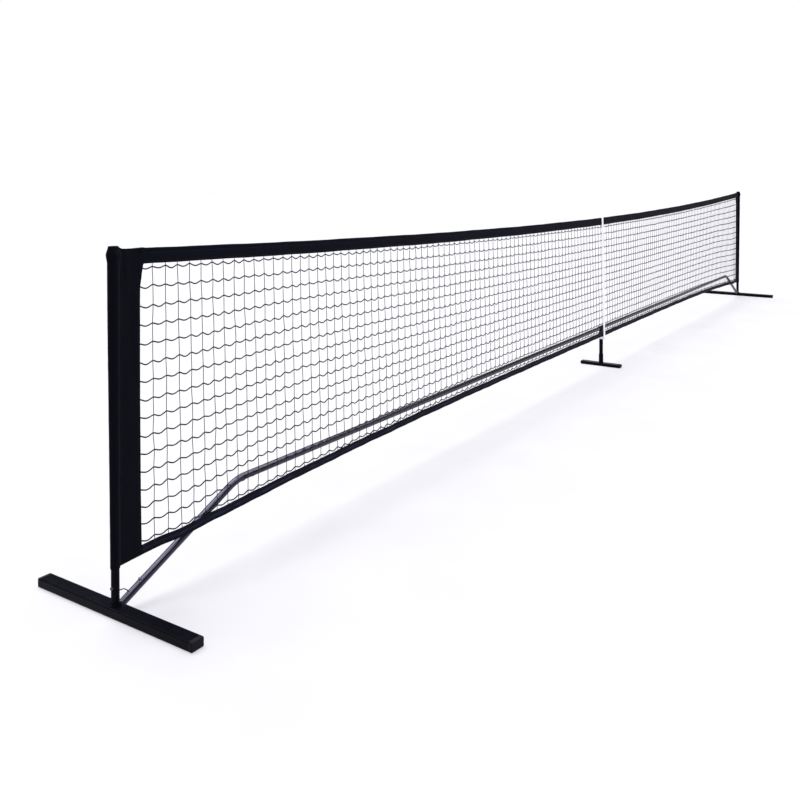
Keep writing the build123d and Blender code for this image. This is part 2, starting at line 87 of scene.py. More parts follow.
# ---- camera ----
CAMERA_AT = Vector((-4.7661, -1.7873, 1.1084))
CAMERA_TURN = 33.524                        # degrees from +X towards +Y
CAMERA_DOWN = 1.061                         # degrees below level
SENSOR_MM = 36.0
LENS_MM = 39.43395
LENS_SHIFT = -0.2667875                     # share of the image's height


def make_camera():
    """The camera at the photograph's viewing angle."""
    data = bpy.data.cameras.new("camera")
    camera = bpy.data.objects.new("camera", data)
    bpy.context.scene.collection.objects.link(camera)
    camera.location = CAMERA_AT
    camera.rotation_euler = (math.radians(90 - CAMERA_DOWN), 0, math.radians(CAMERA_TURN - 90))
    data.sensor_width = SENSOR_MM
    data.lens = LENS_MM
    data.shift_y = LENS_SHIFT
    data.clip_start = 0.05
    data.clip_end = 100
    bpy.context.scene.camera = camera


make_camera()


# ---- material building ----
class Shader:
    """A material's node tree, with short calls for the nodes used here."""

    def __init__(self, name, roughness=0.5, **constants):
        self.material = bpy.data.materials.new(name)
        self.material.use_nodes = True
        self.tree = self.material.node_tree
        self.bsdf = self.tree.nodes["Principled BSDF"]
        self.bsdf.inputs["Roughness"].default_value = roughness
        for key, value in constants.items():
            self.bsdf.inputs[key.replace("_", " ")].default_value = value
        self.place = self.tree.nodes.new("ShaderNodeTexCoord")

    def link(self, source, target):
        if isinstance(source, (int, float)):
            target.default_value = source
        else:
            self.tree.links.new(source, target)

    def math(self, operation, a, b=0.0, c=0.0):
        node = self.tree.nodes.new("ShaderNodeMath")
        node.operation = operation
        for value, socket in zip((a, b, c), node.inputs):
            self.link(value, socket)
        return node.outputs[0]

    def coordinate(self, kind, scale=(1, 1, 1)):
        node = self.tree.nodes.new("ShaderNodeMapping")
        node.inputs["Scale"].default_value = scale
        self.tree.links.new(self.place.outputs[kind], node.inputs["Vector"])
        return node.outputs[0]

    def axes(self, vector):
        node = self.tree.nodes.new("ShaderNodeSeparateXYZ")
        self.tree.links.new(vector, node.inputs[0])
        return node.outputs

    def noise(self, vector, scale, detail=4.0, rough=0.55):
        node = self.tree.nodes.new("ShaderNodeTexNoise")
        node.inputs["Scale"].default_value = scale
        node.inputs["Detail"].default_value = detail
        node.inputs["Roughness"].default_value = rough
        self.tree.links.new(vector, node.inputs["Vector"])
        return node.outputs[0]

    def spread(self, value, low, high, to_low=0.0, to_high=1.0):
        node = self.tree.nodes.new("ShaderNodeMapRange")
        for socket, v in zip(node.inputs, (value, low, high, to_low, to_high)):
            self.link(v, socket)
        return node.outputs[0]

    def colours(self, factor, *stops):
        """Colour ramp through (position, (r, g, b)) stops."""
        node = self.tree.nodes.new("ShaderNodeValToRGB")
        ramp = node.color_ramp
        while len(ramp.elements) < len(stops):
            ramp.elements.new(0.5)
        for element, (position, rgb) in zip(ramp.elements, stops):
            element.position = position
            element.color = (*rgb, 1)
        self.link(factor, node.inputs[0])
        return node.outputs[0]

    def mix(self, factor, a, b):
        node = self.tree.nodes.new("ShaderNodeMix")
        node.data_type = "RGBA"
        self.link(factor, node.inputs[0])
        self.link(a, node.inputs[6])
        self.link(b, node.inputs[7])
        return node.outputs[2]

    def paint(self, colour):
        self.link(colour, self.bsdf.inputs["Base Color"])

    def rough(self, value):
        self.link(value, self.bsdf.inputs["Roughness"])

    def bumps(self, *layers):
        """Bump from (height, strength, distance) layers, one on top of the other."""
        normal = None
        for height, strength, distance in layers:
            node = self.tree.nodes.new("ShaderNodeBump")
            node.inputs["Strength"].default_value = strength
            node.inputs["Distance"].default_value = distance
            self.tree.links.new(height, node.inputs["Height"])
            if normal is not None:
                self.tree.links.new(normal, node.inputs["Normal"])
            normal = node.outputs[0]
        self.tree.links.new(normal, self.bsdf.inputs["Normal"])


def coated_tube(name, gloss, tint):
    """Near-black gloss powder coat with orange peel, faint scuffs and dust near the ground."""
    s = Shader(name, 0.2, Specular_IOR_Level=gloss, Specular_Tint=tint)
    body = s.coordinate("Object")
    cloud = s.noise(body, 9.0, 5)
    peel = s.noise(body, 900.0, 2)
    streak = s.noise(s.coordinate("Object", (40, 400, 400)), 1.0, 3)
    scuff = s.spread(streak, 0.66, 0.74)
    height = s.axes(body)[2]
    dust = s.math("MULTIPLY", s.spread(height, 0.035, 0.0, 0.0, 0.04), s.noise(body, 60.0, 5))
    paint = s.colours(cloud, (0.3, (0.0015, 0.0016, 0.0034)), (0.75, (0.0027, 0.0028, 0.0056)))
    worn = s.mix(s.math("MULTIPLY", scuff, 0.25), paint, s.colours(cloud, (0.0, (0.014, 0.014, 0.022)),
                                                                   (1.0, (0.024, 0.024, 0.032))))
    s.paint(s.mix(dust, worn, s.colours(cloud, (0.0, (0.04, 0.038, 0.04)), (1.0, (0.06, 0.057, 0.052)))))
    base = s.spread(s.noise(body, 45.0, 4), 0.3, 0.7, 0.15, 0.23)
    s.rough(s.math("ADD", base, s.math("MULTIPLY", s.math("MAXIMUM", scuff, dust), 0.25)))
    s.bumps((peel, 0.03, 0.0003), (streak, 0.03, 0.0003))
    return s.material


def moulded_plastic():
    """Black moulded plastic with a fine spark-eroded grain and rubbed high spots."""
    s = Shader("moulded_plastic", 0.5, Specular_IOR_Level=0.07)
    body = s.coordinate("Object")
    cloud = s.noise(body, 30.0, 5)
    grain = s.noise(body, 1600.0, 3)
    rub = s.spread(s.noise(body, 140.0, 4), 0.58, 0.72)
    black = s.colours(cloud, (0.3, (0.0035, 0.0035, 0.0055)), (0.75, (0.0065, 0.0065, 0.0090)))
    s.paint(s.mix(s.math("MULTIPLY", rub, 0.25), black, s.colours(cloud, (0.0, (0.02, 0.02, 0.025)),
                                                                 (1.0, (0.05, 0.05, 0.055)))))
    s.rough(s.spread(cloud, 0.3, 0.7, 0.42, 0.60))
    s.bumps((grain, 0.35, 0.0002),)
    return s.material


def steel(name, tone, roughness, brushed):
    """Plated or spring steel, brushed along X, with slight tarnish."""
    s = Shader(name, roughness, Metallic=1.0)
    body = s.coordinate("Object")
    lines = s.noise(s.coordinate("Object", brushed), 1.0, 3)
    tarnish = s.noise(body, 160.0, 5)
    dark = tuple(0.55 * t for t in tone)
    s.paint(s.colours(tarnish, (0.35, dark), (0.6, tone)))
    s.rough(s.spread(tarnish, 0.3, 0.7, roughness - 0.08, roughness + 0.10))
    s.bumps((lines, 0.12, 0.0002),)
    return s.material


def woven_height(s, place, pitch_u, pitch_v):
    """Height of a plain weave, whose yarns pass over and under each other in turn."""
    u, v, _ = s.axes(place)
    wave_u = s.math("SINE", s.math("MULTIPLY", u, math.pi / pitch_u))
    wave_v = s.math("SINE", s.math("MULTIPLY", v, math.pi / pitch_v))
    over = s.math("GREATER_THAN", s.math("MULTIPLY", wave_u, wave_v), 0.0)
    warp = s.math("MULTIPLY", s.math("ABSOLUTE", wave_u), over)
    weft = s.math("MULTIPLY", s.math("ABSOLUTE", wave_v), s.math("SUBTRACT", 1.0, over))
    return s.math("ADD", warp, weft)


def woven_cloth(name, dark, light, lint, pitch, roughness=0.8, streak=None):
    """Coated oxford cloth: plain weave, cloudy tone, pale lint and a soft sheen. streak is the place across,
    half width, dark and light tone of a painted highlight, a lighter line along both halves."""
    s = Shader(name, roughness, Specular_IOR_Level=0.04, Sheen_Weight=0.01, Sheen_Roughness=0.45)
    cut = s.coordinate("UV")
    weave = woven_height(s, cut, pitch, pitch)
    cloud = s.noise(cut, 14.0, 6, 0.6)
    fold = s.noise(s.coordinate("UV", (60, 14, 1)), 1.0, 4)
    fluff = s.spread(s.noise(s.coordinate("UV", (900, 260, 1)), 1.0, 2), 0.70, 0.78)
    tone = s.colours(cloud, (0.32, dark), (0.72, light))
    if streak is not None:
        # painted highlight: a lighter, bluish line along the middle of each face
        across = s.axes(cut)[0]
        middle = s.spread(s.math("ABSOLUTE", s.math("SUBTRACT", s.math("ABSOLUTE", across), streak[0])),
                          streak[1], 0.0)
        tone = s.mix(s.math("MULTIPLY", middle, s.spread(cloud, 0.3, 0.6, 0.35, 0.9)), tone,
                     s.colours(cloud, (0.4, streak[2]), (0.6, streak[3])))
    # painted shade: the weave's low points are darkened, by up to about a third
    yarn = s.mix(s.spread(weave, 0.0, 1.0, 0.35, 0.0), tone, s.colours(cloud, (0.0, (0, 0, 0)),
                                                                       (1.0, dark)))
    s.paint(s.mix(s.math("MULTIPLY", fluff, 0.3), yarn, s.colours(cloud, (0.0, lint), (1.0, lint))))
    s.rough(s.spread(cloud, 0.3, 0.7, roughness - 0.1, roughness + 0.08))
    s.bumps((fold, 0.25, 0.0010), (weave, 0.35, 0.0003))
    return s.material


def white_webbing():
    """White polyester webbing: chevron ribs, painted pale lilac shade in the grooves, a little soiling."""
    s = Shader("white_webbing", 0.75, Specular_IOR_Level=0.25, Sheen_Weight=0.2, Sheen_Roughness=0.4)
    cut = s.coordinate("UV")
    u, v, _ = s.axes(cut)
    zigzag = s.math("PINGPONG", v, 0.004)
    ribs = s.math("ABSOLUTE", s.math("SINE", s.math("MULTIPLY", s.math("ADD", u, zigzag), math.pi / 0.0013)))
    picks = s.math("ABSOLUTE", s.math("SINE", s.math("MULTIPLY", u, math.pi / 0.0011)))
    height = s.math("ADD", s.math("MULTIPLY", ribs, 0.7), s.math("MULTIPLY", picks, 0.3))
    cloud = s.noise(cut, 26.0, 6, 0.6)
    soil = s.spread(s.noise(cut, 70.0, 6, 0.65), 0.55, 0.75)
    # painted shade: the grooves between the ribs are a darker lilac grey, the ribs white
    white = s.colours(height, (0.0, (0.62, 0.61, 0.68)), (0.55, (0.92, 0.91, 0.93)))
    aged = s.mix(s.spread(cloud, 0.35, 0.75, 0.0, 0.18), white,
                 s.colours(cloud, (0.0, (0.62, 0.60, 0.68)), (1.0, (0.70, 0.68, 0.70))))
    s.paint(s.mix(s.math("MULTIPLY", soil, 0.12), aged, s.colours(cloud, (0.0, (0.35, 0.34, 0.36)),
                                                                  (1.0, (0.40, 0.38, 0.38)))))
    s.rough(s.spread(cloud, 0.3, 0.7, 0.65, 0.85))
    s.bumps((height, 0.5, 0.0004),)
    return s.material


def twisted_cord(name, dark, light, strands, turn, roughness=0.7):
    """Laid or braided cord. UV runs along the cord in metres, and round it from 0 to 1."""
    s = Shader(name, roughness, Specular_IOR_Level=0.10, Sheen_Weight=0.03)
    u, v, _ = s.axes(s.coordinate("UV"))
    along = s.math("MULTIPLY", u, 2 * math.pi / turn)
    round_it = s.math("MULTIPLY", v, 2 * math.pi * strands)
    lay = s.math("SINE", s.math("ADD", along, round_it))
    counter = s.math("SINE", s.math("SUBTRACT", along, round_it))
    height = s.math("MAXIMUM", lay, s.math("MULTIPLY", counter, 0.6))
    cloud = s.noise(s.coordinate("Object"), 38.0, 5)
    tone = s.colours(cloud, (0.3, dark), (0.7, light))
    # painted shade: the grooves between the strands are darkened towards this colour
    shade = tuple(0.4 * x for x in dark)
    s.paint(s.mix(s.spread(height, -0.4, 0.6, 0.8, 0.0), tone, s.colours(cloud, (0.0, shade), (1.0, dark))))
    s.rough(s.spread(cloud, 0.3, 0.7, roughness - 0.12, roughness + 0.12))
    s.bumps((height, 0.5, 0.0003),)
    return s.material


# Painted highlight: both use one coat. The posts, feet and centre parts reflect very little, so they stay
# dark. The braces and crossbar reflect far more, with a lilac tint, which paints a lilac highlight on them.
TUBE = coated_tube("coated_tube", 0.04, (1.0, 1.0, 1.0, 1.0))
GLOSSY_TUBE = coated_tube("painted_highlight_tube", 0.60, (0.74, 0.73, 1.0, 1.0))
PLASTIC = moulded_plastic()
BUTTON = steel("black_zinc", (0.10, 0.10, 0.11), 0.34, (60, 900, 900))
SPRING = steel("spring_steel", (0.20, 0.21, 0.24), 0.34, (900, 60, 60))
SLEEVE = woven_cloth("sleeve_oxford", (0.0014, 0.0018, 0.0038), (0.0029, 0.0037, 0.0075),
                     (0.02, 0.022, 0.034), 0.0007)
TAPE = woven_cloth("tape_oxford", (0.0015, 0.0020, 0.0050), (0.0030, 0.0040, 0.0100),
                   (0.02, 0.022, 0.034), 0.0007)
# the hem's streak is a painted highlight along the middle of each face
HEM = woven_cloth("hem_oxford", (0.0028, 0.0031, 0.0065), (0.0060, 0.0065, 0.0130),
                  (0.07, 0.075, 0.10), 0.0007,
                  streak=(0.0125, 0.006, (0.012, 0.013, 0.026), (0.024, 0.026, 0.050)))
WEBBING = white_webbing()
NETTING = twisted_cord("netting_twine", (0.010, 0.011, 0.015), (0.022, 0.023, 0.030), 2, 0.0045)
BRAID = twisted_cord("braided_cord", (0.006, 0.006, 0.009), (0.016, 0.016, 0.022), 4, 0.0042)
ROPE = twisted_cord("top_rope", (0.30, 0.30, 0.32), (0.48, 0.48, 0.50), 3, 0.0080)
THREAD = twisted_cord("black_thread", (0.010, 0.011, 0.018), (0.024, 0.026, 0.040), 2, 0.0010)
WHITE_THREAD = twisted_cord("white_thread", (0.58, 0.57, 0.63), (0.78, 0.77, 0.80), 2, 0.0010)


# ---- the frame keeps its CAD shapes and gets its finishes ----
NODE_FINISH = {
    "foot_beam": TUBE, "foot_collar": TUBE, "post_tube": TUBE, "post_spigot": TUBE,
    # the brace and crossbar parts take the copy of the coat with the painted lilac highlight
    "brace_stub": GLOSSY_TUBE, "brace_insert": GLOSSY_TUBE, "brace_tube": GLOSSY_TUBE,
    "crossbar_outer": GLOSSY_TUBE, "crossbar_middle": GLOSSY_TUBE, "crossbar_inner": GLOSSY_TUBE,
    "foot_cap_front": PLASTIC, "foot_cap_rear": PLASTIC, "post_cap": PLASTIC,
    "post_button": BUTTON, "brace_button": BUTTON,
    "post_button_spring": SPRING, "brace_button_spring": SPRING, "tether_cord": BRAID,
    "center_tee": TUBE, "center_post": TUBE, "center_foot_beam": TUBE, "center_foot_socket": TUBE,
    "center_foot_cap_front": PLASTIC, "center_foot_cap_rear": PLASTIC, "top_cord": ROPE,
    "sleeve": SLEEVE, "top_tape": TAPE, "bottom_hem": HEM, "center_strap": WEBBING,
    "strap_tie": WEBBING, "net_mesh_left": NETTING, "net_mesh_right": NETTING,
}
for node_name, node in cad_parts.items():
    finish = NODE_FINISH[node_name.removeprefix("left_").removeprefix("right_")]
    if not node.material_slots:
        node.data.materials.append(finish)
    for place in node.material_slots:
        place.material = finish


# ---- mesh building ----
def new_piece(name, vertices, faces, uvs, finish, body):
    """A smooth-shaded mesh piece with a UV pair for each vertex, riding on a CAD body."""
    data = bpy.data.meshes.new(name)
    data.from_pydata(np.asarray(vertices).tolist(), [], [list(map(int, f)) for f in faces])
    layer = data.uv_layers.new(name="cut")
    corner = np.empty(len(data.loops), np.int32)
    data.loops.foreach_get("vertex_index", corner)
    layer.data.foreach_set("uv", np.asarray(uvs, np.float32)[corner].ravel())
    data.polygons.foreach_set("use_smooth", np.ones(len(data.polygons), bool))
    data.update()
    data.validate()
    piece = bpy.data.objects.new(name, data)
    bpy.context.scene.collection.objects.link(piece)
    data.materials.append(finish)
    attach(piece, body)
    return piece


def sheet_loops(middle, thickness):
    """Closed loops round a sheet. middle is stations x points x 3. Each station's loop goes along one
    face, round the edge, back along the other face and round the other edge."""
    along = np.gradient(middle, axis=0)
    across = np.gradient(middle, axis=1)
    normal = np.cross(across, along)
    normal /= np.linalg.norm(normal, axis=2, keepdims=True)
    step = across / np.linalg.norm(across, axis=2, keepdims=True)
    half = normal * thickness / 2
    faces = [middle + half]
    edge = np.radians((45.0, 0.0, -45.0))
    for angle in edge:
        faces.append((middle[:, -1] + half[:, -1] * math.sin(angle)
                      + step[:, -1] * thickness / 2 * math.cos(angle))[:, None])
    faces.append((middle - half)[:, ::-1])
    for angle in -edge:
        faces.append((middle[:, 0] + half[:, 0] * math.sin(angle)
                      - step[:, 0] * thickness / 2 * math.cos(angle))[:, None])
    return np.concatenate(faces, axis=1)


def sheet_piece(name, middle, thickness, finish, body):
    """A sheet of cloth with a real thickness and round edges. Its UVs are metres along the cut."""
    middle = np.asarray(middle, float)
    stations, points = middle.shape[:2]
    loops = sheet_loops(middle, thickness)
    ring = loops.shape[1]
    across = np.linalg.norm(np.diff(middle, axis=1), axis=2).mean(0)
    u = np.concatenate(([0.0], np.cumsum(across)))
    u -= u[-1] / 2
    v = np.concatenate(([0.0], np.cumsum(np.linalg.norm(np.diff(middle[:, points // 2], axis=0), axis=1))))
    u_ring = np.concatenate((u, [u[-1]] * 3, u[::-1], [u[0]] * 3))
    uvs = np.stack(np.broadcast_arrays(u_ring[None, :], v[:, None]), axis=2).reshape(-1, 2)
    here = np.arange(ring)
    after = (here + 1) % ring
    faces = []
    for i in range(stations - 1):
        a, b = i * ring, (i + 1) * ring
        faces.append(np.stack((a + here, a + after, b + after, b + here), axis=1))
    back = points + 3 + points - 1          # back face's point opposite the front face's first one
    for start, order in ((0, -1), ((stations - 1) * ring, 1)):
        j = np.arange(points - 1)
        cap = np.stack((start + j, start + back - j, start + back - j - 1, start + j + 1), axis=1)
        faces.append(cap[:, ::-order])
        for first in (points - 1, back):
            loop = [start + (first + k) % ring for k in range(5)]
            fan = np.array([[loop[0], loop[1], loop[2], loop[2]], [loop[0], loop[2], loop[3], loop[4]]])
            faces.append(fan[:, ::-order])
    clean = [list(dict.fromkeys(map(int, f))) for f in np.concatenate(faces)]
    return new_piece(name, loops.reshape(-1, 3), clean, uvs, finish, body)


def tube_arrays(path, radius, sides):
    """Vertices, faces and UVs of a closed round tube along a path of points."""
    path = np.asarray(path, float)
    tangent = np.gradient(path, axis=0)
    tangent /= np.linalg.norm(tangent, axis=1, keepdims=True)
    side = np.cross(tangent, np.broadcast_to((0.0, 1.0, 0.0), tangent.shape))
    side /= np.linalg.norm(side, axis=1, keepdims=True)
    up = np.cross(side, tangent)
    turn = np.arange(sides) * 2 * math.pi / sides
    radii = np.broadcast_to(radius, (len(path),))[:, None, None]
    rings = path[:, None] + radii * (side[:, None] * np.cos(turn)[None, :, None]
                                     + up[:, None] * np.sin(turn)[None, :, None])
    length = np.concatenate(([0.0], np.cumsum(np.linalg.norm(np.diff(path, axis=0), axis=1))))
    uvs = np.stack(np.broadcast_arrays(length[:, None], (np.abs(turn / math.pi - 1))[None, :]), axis=2)
    here = np.arange(sides)
    after = (here + 1) % sides
    first = (np.arange(len(path) - 1) * sides)[:, None]
    quads = np.stack((first + here, first + sides + here, first + sides + after, first + after), axis=2)
    end = (len(path) - 1) * sides
    caps = [list(here), list((end + here)[::-1])]
    return rings.reshape(-1, 3), [*quads.reshape(-1, 4).tolist(), *caps], uvs.reshape(-1, 2)


def pole_to_pole(columns, rings):
    """Faces of a closed body whose vertices are one pole, rings of columns points, and the other pole."""
    faces = []
    last = 1 + (rings - 1) * columns
    for i in range(columns):
        k = (i + 1) % columns
        faces.append((0, 1 + i, 1 + k))
        for j in range(rings - 1):
            a, b = 1 + j * columns, 1 + (j + 1) * columns
            faces.append((a + i, b + i, b + k, a + k))
        faces.append((last + i, last + columns, last + k))
    return faces


def joined_piece(name, parts, finish, body):
    """One piece from several (vertices, faces, uvs) parts."""
    vertices, faces, uvs = [], [], []
    count = 0
    for points, polygons, pairs in parts:
        vertices.append(points)
        uvs.append(pairs)
        faces.extend([[i + count for i in polygon] for polygon in polygons])
        count += len(points)
    return new_piece(name, np.concatenate(vertices), faces, np.concatenate(uvs), finish, body)


STITCH = 0.0030                     # length of a stitch
STITCH_GAP = 0.0009
STITCH_R = 0.00028


def stitches(path, normal):
    """A row of thread stitches along a path of points. Each is a low four-sided bar with pointed ends."""
    path = np.asarray(path, float)
    normal = np.asarray(normal, float)
    length = np.concatenate(([0.0], np.cumsum(np.linalg.norm(np.diff(path, axis=0), axis=1))))
    starts = np.arange(STITCH_GAP, length[-1] - STITCH, STITCH + STITCH_GAP)
    places = np.stack([[np.interp(starts + share * STITCH, length, path[:, k]) for k in range(3)]
                       for share in (0.0, 0.18, 0.82, 1.0)]).transpose(2, 0, 1)
    vertices, faces, uvs = [], [], []
    bar = [(0, 1, 2), (0, 2, 3), (0, 3, 4), (0, 4, 1), (1, 5, 6, 2), (2, 6, 7, 3), (3, 7, 8, 4), (4, 8, 5, 1),
           (9, 6, 5), (9, 7, 6), (9, 8, 7), (9, 5, 8)]
    for index, (a, b, c, d) in enumerate(places):
        run = (d - a) / np.linalg.norm(d - a)
        side = np.cross(run, normal)
        square = [side * STITCH_R, normal * STITCH_R, -side * STITCH_R, -normal * STITCH_R]
        sunk = -normal * STITCH_R
        vertices.extend([a + sunk, *(b + q for q in square), *(c + q for q in square), d + sunk])
        faces.extend([[i + 10 * index for i in face] for face in bar])
        uvs.extend([(starts[index] + STITCH * t, r) for t, r in
                    ((0, 0), (0.2, 0), (0.2, 0.25), (0.2, 0.5), (0.2, 0.75),
                     (0.8, 0), (0.8, 0.25), (0.8, 0.5), (0.8, 0.75), (1, 0))])
    return np.array(vertices), faces, np.array(uvs)


# ---- lines of the net ----
def smooth(t):
    """Smooth step from 0 to 1."""
    t = np.clip(t, 0, 1)
    return t * t * (3 - 2 * t)


def arc(x, end, middle, reach):
    """Height at x of the round arc through end at both ends of its reach and middle at its centre."""
    rise = end - middle
    radius = (reach ** 2 + rise ** 2) / (2 * abs(rise))
    return middle + math.copysign(1, rise) * (radius - np.sqrt(radius ** 2 - np.asarray(x) ** 2))


def top_line(x):
    """Top of the tape."""
    return arc(x, TOP_END, TOP_MIDDLE, HALF_SPAN)


def hem_line(x):
    """Bottom of the hem, nearly level but at its ends."""
    return HEM_MIDDLE - (HEM_MIDDLE - HEM_END) * (np.asarray(x) / NET_END) ** 4


def in_net(x, z, out=0.0):
    """Points at x and height z, a distance out in front of the middle of the net."""
    x, z, out = np.broadcast_arrays(x, z, out)
    lean = LEAN * smooth((NET_END - np.abs(x)) / (NET_END - TURN_X))
    return np.stack((x, -(TOP_END - z) * lean - out, z + out * lean), axis=-1)


def ripples(x, waves, seed):
    """Sum of a few long sine waves (wavelength, height) with seeded phases."""
    phases = np.random.default_rng(seed).uniform(0, 2 * math.pi, len(waves))
    return sum(h * np.sin(2 * math.pi * x / w + p) for (w, h), p in zip(waves, phases))


def hairpin(fold_r, profile, arc_points=7):
    """Cross-section of cloth folded in two, as (distance from the fold's top, offset), from the front's
    free edge round the fold to the back's. profile lists (distance, half gap) from the free edge up."""
    front = list(profile)
    turn = [(fold_r - fold_r * math.sin(a), fold_r * math.cos(a))
            for a in np.linspace(0, math.pi, arc_points)]
    back = [(d, -g) for d, g in reversed(profile)]
    return np.array(front + turn + back)


BAND_STEP = 0.008
band_x = np.linspace(-NET_END, NET_END, int(2 * NET_END / BAND_STEP) + 1)


def sway_at(share):
    """How much of a band's wave is seen at a share of the way from its fold to its free edges."""
    return 0.25 + 0.75 * share


def folded_band(name, line, section, upwards, wave, lift, thickness, finish):
    """Cloth folded in two along a line of the net. section is its hairpin; wave and lift bend its run."""
    distance, gap = section[:, 0], section[:, 1]
    z = (line(band_x) + lift)[:, None] + (distance if upwards else -distance)[None, :]
    out = gap[None, :] + wave[:, None] * sway_at(distance / distance.max())[None, :]
    return sheet_piece(name, in_net(band_x[:, None], z, out), thickness, finish, "net")


def seam_rows(line, wave, lift, rows, upwards, reach):
    """Stitch rows on both faces of a folded band, at (distance, half thickness) from its fold."""
    parts = []
    for distance, half in rows:
        z = line(band_x) + lift + (distance if upwards else -distance)
        sway = wave * sway_at(distance / reach)
        for face in (1, -1):
            parts.append(stitches(in_net(band_x, z, sway + face * half), (0, -face, face * LEAN)))
    return parts


# ---- top tape ----
TAPE_CLOTH = 0.0010
TAPE_FOLD_R = 0.0020                # the fold is round the top cord
TAPE_SEAMS = ((0.0120, 0.00113), (0.0355, 0.00113))
tape_profile = [(0.0400, 0.00072), (0.0380, 0.00070), (0.0355, 0.00060), (0.0330, 0.00078), (0.0280, 0.00080),
                (0.0230, 0.00080), (0.0180, 0.00080), (0.0145, 0.00078), (0.0120, 0.00060), (0.0100, 0.00085),
                (0.0080, 0.00140), (0.0060, 0.00185), (0.0040, 0.00200)]
tape_section = hairpin(TAPE_FOLD_R, tape_profile)
tape_wave = ripples(band_x, ((0.61, 0.0004), (0.23, 0.0004), (0.117, 0.00025), (0.061, 0.00012)), 3)
tape_lift = ripples(band_x, ((0.83, 0.0004), (0.29, 0.0003), (0.13, 0.00015)), 4) - 0.0006
tape = folded_band("top_tape_cloth", top_line, tape_section, False, tape_wave, tape_lift, TAPE_CLOTH, TAPE)
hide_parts("top_tape")
tape_rows = seam_rows(top_line, tape_wave, tape_lift, TAPE_SEAMS, False, TAPE_HEIGHT)
tape_seams = joined_piece("top_tape_stitching", tape_rows, THREAD, "net")

# ---- bottom hem ----
HEM_CLOTH = 0.0011
HEM_FOLD_R = 0.0008
HEM_SEAMS = ((0.0205, 0.00116),)
hem_profile = [(0.0240, 0.00075), (0.0225, 0.00072), (0.0205, 0.00058), (0.0185, 0.00080), (0.0160, 0.00092),
               (0.0130, 0.00095), (0.0100, 0.00095), (0.0070, 0.00092), (0.0045, 0.00088), (0.0025, 0.00082)]
hem_section = hairpin(HEM_FOLD_R, hem_profile, 5)
hem_wave = ripples(band_x, ((0.47, 0.0004), (0.19, 0.0004), (0.083, 0.0003)), 5)
hem_lift = ripples(band_x, ((0.37, 0.0005), (0.16, 0.0004), (0.084, 0.0004)), 6) + 0.0008
hem = folded_band("bottom_hem_cloth", hem_line, hem_section, True, hem_wave, hem_lift, HEM_CLOTH, HEM)
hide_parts("bottom_hem")
hem_rows = seam_rows(hem_line, hem_wave, hem_lift, HEM_SEAMS, True, HEM_HEIGHT)
hem_seams = joined_piece("bottom_hem_stitching", hem_rows, THREAD, "net")


# ---- netting ----
def spline(points, per_cell):
    """Catmull-Rom curve through the points, with per_cell steps between two of them."""
    p = np.asarray(points, float)
    p = np.concatenate((2 * p[:1] - p[1:2], p, 2 * p[-1:] - p[-2:-1]))
    t = np.linspace(0, 1, per_cell, endpoint=False)[None, :, None]
    a, b, c, d = (p[k:len(p) - 3 + k, None] for k in range(4))
    curve = 0.5 * (2 * b + (c - a) * t + (2 * a - 5 * b + 4 * c - d) * t ** 2
                   + (3 * b - a - 3 * c + d) * t ** 3)
    return np.concatenate((curve.reshape(-1, 3), p[-2:-1]))


def knot_part(centre, tilt):
    """A small lumpy knot round the crossing of two cords."""
    columns, rows = 8, 5
    points = [(0.0, 0.0, 1.0)]
    for j in range(1, rows):
        polar = math.pi * j / rows
        for i in range(columns):
            turn = 2 * math.pi * i / columns
            lump = 1 + 0.16 * math.sin(2 * turn + 3 * polar)
            points.append((lump * math.sin(polar) * math.cos(turn), lump * math.sin(polar) * math.sin(turn),
                           lump * math.cos(polar)))
    points.append((0.0, 0.0, -1.0))
    shape = np.array(points) * (KNOT_R * 1.05, KNOT_R * 0.85, KNOT_R * 1.15)
    cos, sin = math.cos(tilt), math.sin(tilt)
    turned = shape @ np.array(((cos, 0, -sin), (0, 1, 0), (sin, 0, cos)))
    uvs = np.stack((shape[:, 2], 0.5 + shape[:, 0] / KNOT_R / 2), axis=1)
    return turned + centre, pole_to_pole(columns, rows - 1), uvs


def knot_places():
    """X of each upright, height of each of its knots, and each knot's point in the net."""
    half_count = int((NET_END - EDGE_MARGIN) / COLUMN_PITCH)
    columns = (np.arange(-half_count, half_count + 2) - 0.5) * COLUMN_PITCH
    wide = np.concatenate(([-NET_END - CORD_TUCK], columns, [NET_END + CORD_TUCK]))
    share = (np.arange(ROW_COUNT) / (ROW_COUNT - 1))[None, :]
    first = (top_line(wide) - TAPE_HEIGHT - FIRST_ROW)[:, None]
    last = (hem_line(wide) + HEM_HEIGHT + LAST_ROW)[:, None]
    uneven = ROW_UNEVEN * smooth((np.abs(wide) - UNEVEN_FROM) / UNEVEN_RUN)[:, None]
    z = first - (first - last) * (share + uneven * share * (1 - share))
    x = np.broadcast_to(wide[:, None], z.shape).copy()
    x[1:-1] += draw.normal(0, SPREAD_X, x[1:-1].shape)
    z = z + draw.normal(0, SPREAD_Z, z.shape)
    return wide, z, in_net(x, z, draw.normal(0, SPREAD_OUT, z.shape))


def contiguous(cells):
    """Cells of one level cord, in groups whose ends meet."""
    groups = []
    for cell in cells:
        if groups and np.linalg.norm(groups[-1][-1][-1] - cell[0]) < 1e-6:
            groups[-1].append(cell)
        else:
            groups.append([cell])
    return groups


